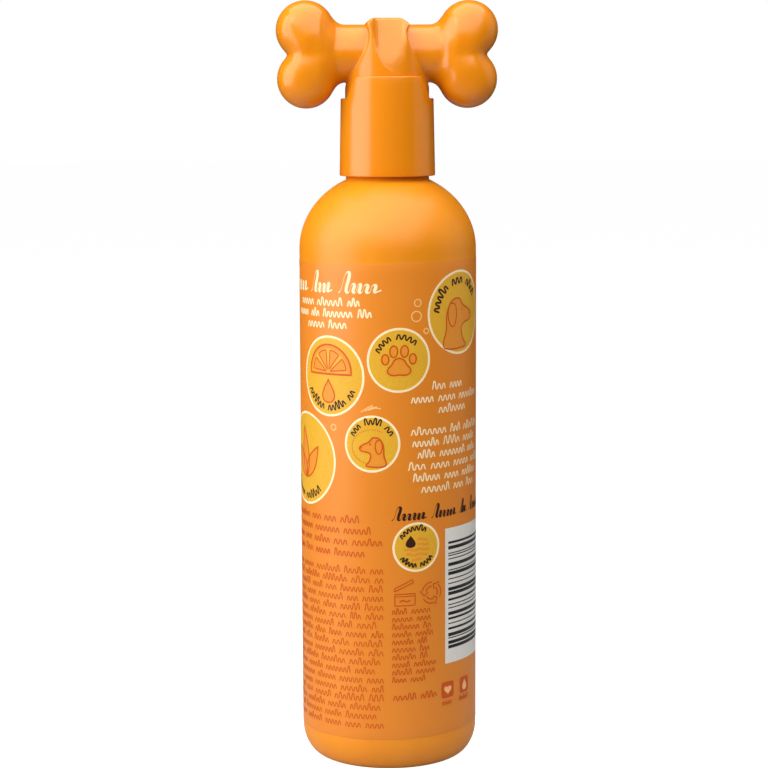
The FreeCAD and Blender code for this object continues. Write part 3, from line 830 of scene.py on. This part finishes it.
def heart_outline(s, z, size, count=40):
    out = []
    for i in range(count):
        t = 2 * math.pi * i / count
        x = 16 * math.sin(t) ** 3
        y = 13 * math.cos(t) - 5 * math.cos(2 * t) - 2 * math.cos(3 * t) - math.cos(4 * t)
        out.append((s + size * x / 17, z + size * y / 17))
    return out


def leaf_outline(s, z, length, width, lean, count=16):
    """Pointed leaf growing from (s, z), leaning by an angle in degrees from upright."""
    a = math.radians(lean)
    out = []
    for side in (1, -1):
        for i in range(count):
            t = i / count if side == 1 else 1 - i / count
            across = side * width / 2 * math.sin(math.pi * t ** 0.8)
            along = length * t
            right = along * math.sin(a) + across * math.cos(a)
            up = along * math.cos(a) - across * math.sin(a)
            out.append((s + right, z + up))
    return out


def scribble_words(length, height, rng):
    """Made-up writing: words that are only small round waves, as lists of (along, up) points."""
    words = []
    at = 0.0
    while at < length - 1.5 * height:
        word = min(length - at, height * rng.uniform(2.0, 6.0))
        waves = max(2, round(word / (0.8 * height)))
        step = word / waves
        path = []
        for wave in range(waves):
            tall = height * rng.choice((0.72, 0.72, 0.72, 1.15))
            for k in range(14):
                a = 2 * math.pi * k / 14
                up = (0.5 - 0.5 * math.tanh(1.7 * math.cos(a)) / math.tanh(1.7)) * tall
                path.append((at + step * (wave + k / 14), up))
        words.append(path)
        at += word + height * 0.75
    return words


def write_line(ink_print, s0, s1, z, height, stroke, rng):
    """One straight line of made-up writing."""
    for word in scribble_words(s1 - s0, height, rng):
        ink_print.ribbon([(s0 + u, z + v) for u, v in word], stroke)


def write_arc(ink_print, s, z, radius, start, sweep, height, stroke, rng):
    """Made-up writing round an arc; a positive sweep runs anticlockwise, with its feet outwards."""
    length = abs(math.radians(sweep)) * radius
    for word in scribble_words(length, height, rng):
        path = []
        for u, v in word:
            a = math.radians(start) + math.copysign(u / radius, sweep)
            r = radius + (v if sweep < 0 else -v)
            path.append((s + r * math.cos(a), z + r * math.sin(a)))
        ink_print.ribbon(path, stroke)


def flourish(ink_print, s0, z0, length, height, stroke, rng, slant=0.3):
    """Brush-like leaning wave: one tall crest, a run of low ones and a long tail."""
    waves = max(2, round((length - 0.5 * height) / (0.42 * height)))
    widths = [1.5] + [rng.uniform(0.85, 1.15) for _ in range(waves)]
    talls = [height] + [height * rng.uniform(0.38, 0.46) for _ in range(waves)]
    scale = (length - slant * height) / sum(widths)
    path = []
    at = 0.0
    for width, tall in zip(widths, talls):
        for k in range(20):
            a = 2 * math.pi * k / 20
            up = (0.5 - 0.5 * math.cos(a)) * tall
            path.append((s0 + at + width * scale * (k / 20 + 0.1 * math.sin(2 * a)) + slant * up, z0 + up))
        at += width * scale
    path.append((s0 + at + 0.25 * height, z0 + 0.12 * height))
    ink_print.ribbon(path, stroke, pen=True)


def badge(inks, s, z, radius):
    """Yellow disc in a cream ring."""
    inks["badge"].blob(circle(s, z, radius, 72))
    inks["cream"].ribbon(circle(s, z, radius, 96), 0.66, closed=True)


def outlined(inks, outline, stroke=0.42):
    """Orange shape with a rust outline."""
    inks["icon"].blob(outline)
    inks["rust"].ribbon(outline, stroke, closed=True)


def citrus_badge(inks, s, z, radius, rng):
    badge(inks, s, z, radius)
    reach = radius * 0.7
    middle = (s - 0.3, z + radius * 0.1)
    rind = circle(*middle, reach, 40, -4, 188)
    outlined(inks, rind, 0.5)
    inks["badge_top"].blob(circle(*middle, reach * 0.86, 36, 0, 180))
    for i in range(4):
        a0, a1 = 45 * i + 5, 45 * i + 40
        wedge = [middle]
        wedge.extend(circle(*middle, reach * 0.72, 9, a0, a1 - a0))
        shift = math.radians((a0 + a1) / 2)
        moved = [(u + 0.7 * math.cos(shift), v + 0.7 * math.sin(shift)) for u, v in wedge]
        inks["icon_top"].blob(moved)
        inks["rust"].ribbon(moved, 0.36, closed=True)
    outlined(inks, drop_outline(s - 0.3, z - radius * 0.38, 2.1, 6.6))
    write_arc(inks["dark"], s, z, radius - 1.5, 205, 130, 1.9, 0.44, rng)


def paw_badge(inks, s, z, radius, rng):
    badge(inks, s, z, radius)
    unit = radius / 9.25
    pad = []
    for i in range(40):
        a = 2 * math.pi * i / 40
        r = 2.9 + 0.55 * math.cos(3 * a + math.pi / 2)
        pad.append((s + unit * r * 1.1 * math.cos(a), z + unit * (-2.3 + r * 0.85 * math.sin(a))))
    outlined(inks, pad)
    for side in (-1, 1):
        for out, up, wide, tall in ((1.6, 2.6, 1.15, 1.7), (4.1, 0.3, 1.05, 1.5)):
            outlined(inks, oval(s + unit * side * out, z + unit * up, unit * wide, unit * tall, 28))
    write_arc(inks["dark"], s, z, radius - 2.9, 160, -140, 1.7, 0.45, rng)


def smooth_outline(corners, s, z, scale, flip=1):
    """Closed soft curve through corner points (Catmull-Rom)."""
    out = []
    count = len(corners)
    for i in range(count):
        p0, p1, p2, p3 = (np.array(corners[(i + k) % count], float) for k in (-1, 0, 1, 2))
        for t in (0, 0.25, 0.5, 0.75):
            bend = (2 * p0 - 5 * p1 + 4 * p2 - p3) * t * t + (3 * p1 - p0 - 3 * p2 + p3) * t ** 3
            u, v = 0.5 * (2 * p1 + (p2 - p0) * t + bend)
            out.append((s + flip * scale * u, z + scale * v))
    return out


DOG_SIDE = (
    (-0.50, -0.75), (-0.44, -0.30), (-0.42, 0.10), (-0.26, 0.40), (0.02, 0.46), (0.20, 0.28),
    (0.46, 0.16), (0.60, 0.04), (0.54, -0.10), (0.26, -0.16), (0.12, -0.28), (0.18, -0.55), (0.30, -0.75),
)
DOG_NAPE = 2        # corners of the drawing between which the head joins the neck
DOG_CHIN = 10
DOG_EAR = ((-0.30, 0.34), (-0.12, 0.30), (-0.08, 0.02), (-0.18, -0.22), (-0.32, -0.16), (-0.38, 0.10))


def dog_drawing(inks, s, z, scale, flip=1):
    """Side view of a dog's head with a hanging ear."""
    outline = smooth_outline(DOG_SIDE, s, z, scale, flip)
    chin = 4 * DOG_CHIN
    nape = 4 * DOG_NAPE
    inks["icon"].blob(outline[nape:chin + 1])
    inks["icon"].blob(outline[chin:] + outline[:nape + 1])
    inks["rust"].ribbon(outline, 0.42, closed=True)
    inks["rust"].ribbon(smooth_outline(DOG_EAR, s, z, scale, flip), 0.36, closed=True)
    inks["rust"].blob(circle(s + flip * 0.14 * scale, z + 0.18 * scale, 0.3, 10))
    inks["rust"].blob(circle(s + flip * 0.56 * scale, z + 0.06 * scale, 0.42, 12))


def dog_badge(inks, s, z, radius, rng):
    badge(inks, s, z, radius)
    dog_drawing(inks, s - 0.6, z - 1.3, radius * 0.98)
    write_arc(inks["dark"], s, z, radius - 3.4, 178, -150, 2.1, 0.55, rng)


def leaf_badge(inks, s, z, radius, rng):
    badge(inks, s, z, radius)
    for lean, length in ((-38, 11.0), (34, 11.5), (-8, 15.0)):
        outlined(inks, leaf_outline(s, z - radius * 0.42, length, 4.4, lean), 0.42)
    write_arc(inks["dark"], s, z, radius - 1.5, 210, 120, 1.9, 0.45, rng)


def muzzle_badge(inks, s, z, radius, rng):
    badge(inks, s, z, radius)
    dog_drawing(inks, s + 0.5, z - 1.3, radius * 0.86, -1)
    for i in range(30):
        a = math.radians(60 + i * 6.6)
        inks["rust"].blob(circle(s + 5.9 * math.cos(a), z - 0.8 + 4.9 * math.sin(a), 0.16, 8))
    write_arc(inks["dark"], s, z, radius - 2.2, 158, -136, 1.6, 0.42, rng)


def wave_badge(inks, s, z, radius, rng):
    badge(inks, s, z, radius)
    for row in range(5):
        up = 2.2 - 1.45 * row
        half = math.sqrt(3.9 ** 2 - up ** 2)
        left = 0.2 if row < 2 else -half
        steps = 20
        wave = []
        for i in range(steps + 1):
            u = left + (half - left) * i / steps
            wave.append((s + u, z + up + 0.16 * math.sin(u * 1.8)))
        inks["icon"].ribbon(wave, 0.75)
    inks["dark"].blob(drop_outline(s - 1.9, z + 1.7, 1.35, 3.6))
    write_arc(inks["dark"], s, z, radius - 1.9, 150, -120, 1.4, 0.46, rng)
    write_arc(inks["dark"], s, z, radius - 1.0, 212, 116, 1.4, 0.46, rng)


def bar_symbol(inks, s0, s1, z0, z1, rng):
    """Pale panel of stacked bars with made-up widths."""
    margin = 4.0
    inks["panel"].panel(s0, s1, z0, z1)
    at = z0 + margin + 0.3
    unit = 0.33
    while at < z1 - margin:
        thick = unit * rng.choice((1, 1, 2, 3))
        inks["black"].panel(s0 + 1.2, s1 - 3.4, at, min(at + thick, z1 - margin))
        at += thick + unit * rng.choice((1, 1, 2, 2, 3))


def jar_mark(inks, s, z):
    """Outline of an open jar."""
    rust = inks["rust"]
    body = [(s - 3.0, z - 3.6), (s + 3.0, z - 3.6), (s + 3.0, z - 0.2), (s - 3.0, z - 0.2)]
    rust.ribbon(body + body[:1], 0.3)
    rust.ribbon([(s - 3.0, z - 0.9), (s, z - 0.9), (s + 3.0, z - 0.9)], 0.22)
    lid = [(s - 3.1, z + 0.6), (s - 3.0, z + 1.5), (s + 2.2, z + 3.9), (s + 2.5, z + 3.0)]
    rust.ribbon(lid + lid[:1], 0.3)
    rust.ribbon([(s - 1.6, z - 2.4), (s - 0.6, z - 2.0), (s + 0.4, z - 2.5), (s + 1.6, z - 2.1)], 0.4)


def loop_mark(inks, s, z):
    """Three curved arrows chasing each other."""
    rust = inks["rust"]
    for i in range(3):
        start = 90 + 120 * i
        rust.ribbon(circle(s, z, 3.1, 14, start, 78), 0.34)
        rust.ribbon(circle(s, z, 1.9, 14, start, 78), 0.34)
        a = math.radians(start + 78)
        b = math.radians(start + 108)
        tip = (s + 2.5 * math.cos(b), z + 2.5 * math.sin(b))
        for r in (3.9, 1.2):
            rust.ribbon([(s + r * math.cos(a), z + r * math.sin(a)), tip], 0.32)


def symbol_tile(inks, s, z, size, outline):
    """Rounded rust tile with a small pale symbol on it."""
    inks["rust"].blob(oval(s, z, size / 2, size / 2, 40, 0.5, 0.3))
    inks["mark"].blob(outline)


def bubble(inks, s, z, radius):
    inks["pale"].ribbon(circle(s, z, radius, 32), 0.34, closed=True)


def print_back(inks):
    """The side with the small print, which faces -Y."""
    rng = random.Random(11)
    cream = inks["cream"]
    for s0, length in ((-41.0, 13.0), (-26.4, 9.6), (-15.0, 13.4)):
        flourish(cream, s0, 140.2, length, 6.0, 1.0, rng)
    for z, s0, s1 in ((136.4, -33.0, -6.6), (133.2, -35.0, -4.6), (130.0, -28.5, -11.0)):
        write_line(cream, s0, s1, z, 1.95, 0.44, rng)
    citrus_badge(inks, -18.55, 116.1, 11.35, rng)
    paw_badge(inks, 3.1, 120.9, 8.95, rng)
    dog_badge(inks, 23.75, 133.4, 11.8, rng)
    leaf_badge(inks, -29.9, 91.2, 13.3, rng)
    muzzle_badge(inks, -4.85, 97.0, 7.9, rng)
    for s, z, radius in ((8.6, 137.0, 1.0), (8.2, 133.2, 1.45), (11.2, 128.9, 0.75), (-17.0, 101.4, 0.85)):
        bubble(inks, s, z, radius)
    for i in range(3):
        s, z = -8.0 + 1.1 * i, 106.2 + 0.3 * i
        inks["pale"].ribbon([(s, z), (s + 2.0, z + 1.3 - 0.35 * i), (s + 3.6, z + 2.0 - 0.8 * i)], 0.34)
    for z, half in ((112.0, 8.0), (108.5, 14.5), (105.1, 5.8)):
        write_line(cream, 21 - half, 21 + half, z, 1.95, 0.38, rng)
    for i, half in enumerate((14.6, 14.2, 12.6, 15.4, 14.0, 11.5)):
        write_line(cream, 21 - half, 21 + half, 99.2 - 3.35 * i, 1.95, 0.38, rng)
    for s0, length in ((0.8, 10.6), (12.8, 9.6), (23.6, 4.2), (28.8, 13.0)):
        flourish(inks["dark"], s0, 74.8, length, 3.9, 0.85, rng)
    wave_badge(inks, 8.2, 66.7, 6.9, rng)
    bar_symbol(inks, 17.6, 46.5, 31.0, 71.0, rng)
    jar_mark(inks, 4.6, 53.4)
    loop_mark(inks, 12.8, 52.9)
    for z, end in ((74.0, -8.6), (70.8, -5.2), (67.5, -1.8), (64.2, -3.6)):
        write_line(inks["rust"], -45, end, z, 1.8, 0.3, rng)
    for i in range(18):
        write_line(inks["rust"], -47 + rng.uniform(0, 1), -1.6, 59.3 - 2.68 * i, 1.7, 0.24, rng)
    for i in range(10):
        write_line(inks["rust"], 0.7, 16.4 - rng.uniform(0, 6), 47.4 - 2.24 * i, 1.45, 0.27, rng)
    write_line(inks["rust"], 1.0, 14.6, 22.0, 1.6, 0.32, rng)
    symbol_tile(inks, 18.6, 23.2, 4.8, heart_outline(18.6, 23.2, 1.5))
    symbol_tile(inks, 26.3, 23.2, 4.8, drop_outline(26.3, 23.2, 1.0, 3.2))
    write_line(inks["rust"], 16.4, 21.6, 18.8, 1.3, 0.28, rng)
    write_line(inks["rust"], 23.4, 31.0, 18.8, 1.3, 0.28, rng)


def print_front(inks):
    """The display side, which faces +Y."""
    rng = random.Random(23)
    middle = math.pi * LABEL_R
    for s0, z, length in ((-18.0, 131.0, 15.0), (0.0, 131.0, 18.0), (-15.0, 118.5, 30.0)):
        flourish(inks["cream"], middle + s0, z, length, 8.4, 1.4, rng)
    paw_badge(inks, middle, 92.0, 17.5, rng)
    citrus_badge(inks, middle - 13.5, 58.5, 10.5, rng)
    leaf_badge(inks, middle + 12.5, 56.5, 11.5, rng)
    bubbles = ((-19, 78, 1.6), (-15.5, 74, 0.9), (19.5, 79, 1.3), (22.0, 112, 1.8), (-21.5, 109, 1.2))
    for s, z, radius in bubbles:
        bubble(inks, middle + s, z, radius)
    for z, half in ((39.0, 15.0), (34.6, 18.0), (30.2, 12.0)):
        write_line(inks["cream"], middle - half, middle + half, z, 2.6, 0.5, rng)
    write_line(inks["dark"], middle - 8, middle + 8, 19.0, 2.4, 0.5, rng)


def print_label():
    inks = {
        "badge": Print("badge_discs", BADGE_INK, 1),
        "panel": Print("bar_panel", PANEL_INK, 1),
        "icon": Print("icon_fills", ICON_INK, 2),
        "pale": Print("bubble_rings", PALE_INK, 1),
        "cream": Print("cream_print", CREAM_INK, 2),
        "dark": Print("dark_print", DARK_INK, 2),
        "black": Print("bars", BLACK_INK, 2),
        "rust": Print("rust_print", RUST_INK, 5),
        "badge_top": Print("citrus_pith", BADGE_INK, 3),
        "icon_top": Print("citrus_pulp", ICON_INK, 4),
        "mark": Print("tile_marks", PALE_INK, 6),
    }
    print_back(inks)
    print_front(inks)
    for ink_print in inks.values():
        ink_print.finish()


# ---- The pump inside ----
def make_spring():
    """Round wire between its two seats, with closed end turns."""
    low, high = SPRING_LOW[2] + WIRE_R, SPRING_HIGH[2] - WIRE_R
    coil_r = SPRING_HIGH[0] - WIRE_R
    per_turn, sides = 40, 14
    points = []
    for i in range(SPRING_TURNS * per_turn + 1):
        turn = i / per_turn
        angle = 2 * math.pi * turn
        inner = min(max((turn - END_TURN) / (SPRING_TURNS - 2 * END_TURN), 0), 1)
        closed = min(turn, END_TURN) + min(max(turn - SPRING_TURNS + END_TURN, 0), END_TURN)
        z = low + closed * END_PITCH + inner * (high - low - 2 * END_TURN * END_PITCH)
        for j in range(sides):
            a = 2 * math.pi * j / sides
            r = coil_r + WIRE_R * math.cos(a)
            points.append((r * math.cos(angle), r * math.sin(angle), z + WIRE_R * math.sin(a)))
    faces = loop_faces(SPRING_TURNS * per_turn + 1, sides)
    faces.append(tuple(reversed(range(sides))))
    faces.append(tuple(range(len(points) - sides, len(points))))
    spring = make_piece("spring_coil", points, faces, STEEL, "pump", ["return_spring"])
    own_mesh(spring)


def dress_nodes():
    """Finishes for the CAD nodes that are shown as they are."""
    cage = ("closure_ring", "pump_housing", "ball_retainer", "stem_guide")
    plunger = ("press_core", "stem", "stem_foot")
    finishes = dict.fromkeys(cage + plunger, NATURAL_PLASTIC)
    finishes["nozzle_insert"] = CAP_PLASTIC
    finishes["neck_gasket"] = GASKET_FOAM
    finishes["dip_tube"] = TUBE_PLASTIC
    finishes["inlet_ball"] = STEEL
    finishes["piston"] = PISTON_PLASTIC
    for name, material in finishes.items():
        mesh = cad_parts[name].data
        mesh.materials.clear()
        mesh.materials.append(material)


# ---- Studio ----
SHOULDER_AIM = 150.0    # height that the side lights face
FILL_STRENGTH = 0.04    # light from all round
PAPER_STRENGTH = 1.0    # the same surroundings as the camera sees them
PAPER_GLOW = 0.98       # the floor as the camera sees it


def turned(place):
    """A point of the studio, turned with the camera about the bottle's axis."""
    return Matrix.Rotation(VIEW_TURN, 3, "Z") @ Vector(place) * MM


def aim(thing, place, target):
    thing.location = turned(place)
    way = turned(target) - thing.location
    thing.rotation_euler = way.to_track_quat("-Z", "Y").to_euler()


def area_light(name, place, target, size, radiance):
    """Rectangular soft box of a given brightness, where 1 is white paper's."""
    data = bpy.data.lights.new(name, "AREA")
    data.shape = "RECTANGLE"
    data.size = size[0] * MM
    data.size_y = size[1] * MM
    data.energy = radiance * math.pi * data.size * data.size_y
    light = bpy.data.objects.new(name, data)
    bpy.context.scene.collection.objects.link(light)
    aim(light, place, target)
    light.visible_camera = False


def soft_box(name, azimuth, elevation, distance, size, radiance):
    """Soft box at an angle round the bottle from the camera, facing its upper half."""
    a, e = math.radians(azimuth), math.radians(elevation)
    across = distance * math.cos(e)
    place = (across * math.sin(a), -across * math.cos(a), SHOULDER_AIM + distance * math.sin(e))
    area_light(name, place, (0, 0, SHOULDER_AIM), size, radiance)


def make_studio():
    scene = bpy.context.scene
    scene.view_settings.view_transform = "Standard"
    world = bpy.data.worlds.new("studio")
    scene.world = world
    world.use_nodes = True
    nodes, links = world.node_tree.nodes, world.node_tree.links
    mix = nodes.new("ShaderNodeMixShader")
    path = nodes.new("ShaderNodeLightPath")
    links.new(path.outputs["Is Camera Ray"], mix.inputs["Fac"])
    skies = ((nodes["Background"], FILL_STRENGTH), (nodes.new("ShaderNodeBackground"), PAPER_STRENGTH))
    for i, (sky, strength) in enumerate(skies, 1):
        sky.inputs["Color"].default_value = (1, 1, 1, 1)
        sky.inputs["Strength"].default_value = strength
        links.new(sky.outputs["Background"], mix.inputs[i])
    links.new(mix.outputs["Shader"], nodes["World Output"].inputs["Surface"])

    mesh = bpy.data.meshes.new("floor")
    half = 6.0      # metres
    corners = [(-half, -half, 0), (half, -half, 0), (half, half, 0), (-half, half, 0)]
    mesh.from_pydata(corners, [], [(0, 1, 2, 3)])
    floor = bpy.data.objects.new("floor", mesh)
    scene.collection.objects.link(floor)
    shader = Shader("floor_paper", Roughness=0.8)
    # painted pool of light: the floor's colour is lighter round the bottle and darker far off, standing in
    # for brighter bounce light near the bottle
    glow = shader.glow(3.0)
    grain = shader.combine("MULTIPLY", shader.noise(30, 4), 0.06)
    painted_light_pool_tones = [(0.0, linear(112, 112, 112)), (0.85, linear(180, 180, 180))]
    shader.set("Base Color", shader.colours(shader.combine("ADD", glow, grain), painted_light_pool_tones))
    shader.bsdf.inputs["Emission Color"].default_value = (1, 1, 1, 1)
    seen = shader.add("LightPath").outputs["Is Camera Ray"]
    shader.set("Emission Strength", shader.combine("MULTIPLY", seen, PAPER_GLOW))
    mesh.materials.append(shader.material)

    soft_box("key_left", azimuth=-70, elevation=8, distance=620, size=(640, 900), radiance=3.0)
    area_light("top_front", (0, -190, 560), (0, -62, 207), (860, 1040), 2.5)
    soft_box("fill_right", azimuth=95, elevation=5, distance=650, size=(620, 800), radiance=0.45)


def make_camera():
    data = bpy.data.cameras.new("camera")
    data.sensor_width = 36.0
    data.lens = VIEW_LENS
    camera = bpy.data.objects.new("camera", data)
    bpy.context.scene.collection.objects.link(camera)
    camera.location = turned(VIEW_PLACE)
    tilt = Matrix.Rotation(math.pi / 2 - VIEW_DOWN, 3, "X") @ Matrix.Rotation(VIEW_ROLL, 3, "Z")
    camera.rotation_euler = (Matrix.Rotation(VIEW_TURN, 3, "Z") @ tilt).to_euler()
    data.clip_start = 0.01
    data.clip_end = 50
    bpy.context.scene.camera = camera


make_camera()
make_studio()
dress_nodes()
make_head()
make_collar()
make_bottle()
make_label()
print_label()
make_spring()
